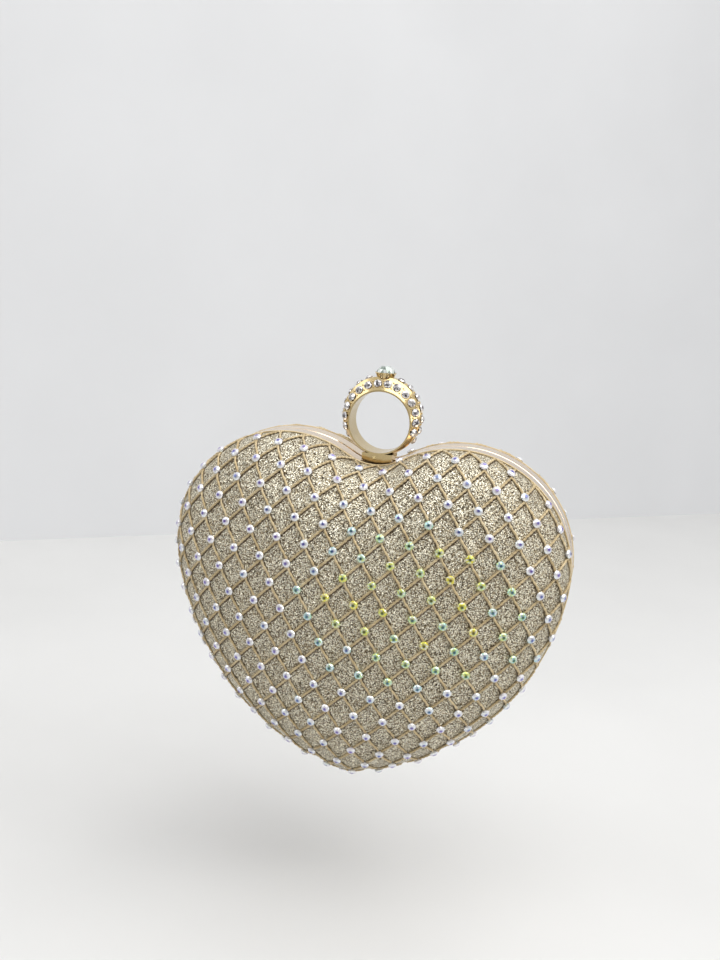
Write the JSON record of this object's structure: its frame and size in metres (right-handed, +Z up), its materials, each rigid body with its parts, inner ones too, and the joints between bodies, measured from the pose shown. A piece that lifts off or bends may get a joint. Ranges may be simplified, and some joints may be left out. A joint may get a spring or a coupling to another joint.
{
  "type": "heart shaped purse",
  "caption": "Heart shaped hard-case evening purse: two domed halves hinged at the tip, glitter fabric under a crystal net, and a finger ring on top that works the latch.",
  "frame": {"origin": "centre of the finger ring's bore, in the seam plane of the two halves", "axes": "+Z up from the heart's tip to the ring, -Y out of the front half along the finger bore, +X to the right seen from the front"},
  "size_m": [0.1585, 0.0776, 0.1653],
  "materials": {
    "glitter_fabric": "champagne glitter",
    "crystal": "faceted, iridescent",
    "frame_gold": "polished pale gold",
    "ring_gold": "polished gold",
    "shell_plastic": "moulded",
    "lining_satin": "satin",
    "spring_steel": "brushed"
  },
  "bodies": {
    "back_half": {"back_frame": "frame_gold", "back_shell": "shell_plastic", "back_cover": "glitter_fabric", "back_crystals": "crystal", "back_lining": "lining_satin", "back_hinge_leaf": "frame_gold", "back_hinge_rivets": "frame_gold", "hinge_pin": "frame_gold", "clasp_lug": "frame_gold", "clasp_pin": "frame_gold", "latch_spring": "spring_steel", "latch_rivets": "frame_gold"},
    "front_half": {"front_frame": "frame_gold", "front_shell": "shell_plastic", "front_cover": "glitter_fabric", "front_crystals": "crystal", "front_lining": "lining_satin", "front_hinge_leaf": "frame_gold", "front_hinge_rivets": "frame_gold", "catch_plate": "frame_gold", "catch_rivets": "frame_gold"},
    "ring_lever": {"finger_ring": "ring_gold", "ring_foot": "ring_gold", "ring_front_crystals": "crystal", "ring_crest_crystals": "crystal", "ring_back_crystals": "crystal", "solitaire_collet": "ring_gold", "solitaire_crystal": "crystal"}
  },
  "joints": [
    {"name": "case_open", "type": "hinge", "parent": "back_half", "child": "front_half", "pos_m": [0, 0, -0.14295], "axis": [1, 0, 0], "range_deg": [0, 95], "deforming": ["latch_spring"]},
    {"name": "ring_flip", "type": "hinge", "parent": "back_half", "child": "ring_lever", "pos_m": [0, 0.0024, -0.01475], "axis": [-1, 0, 0], "range_deg": [0, 25], "stiffness_Nm_per_rad": 0.06, "springref_deg": -11.46, "deforming": ["latch_spring"]}
  ]
}
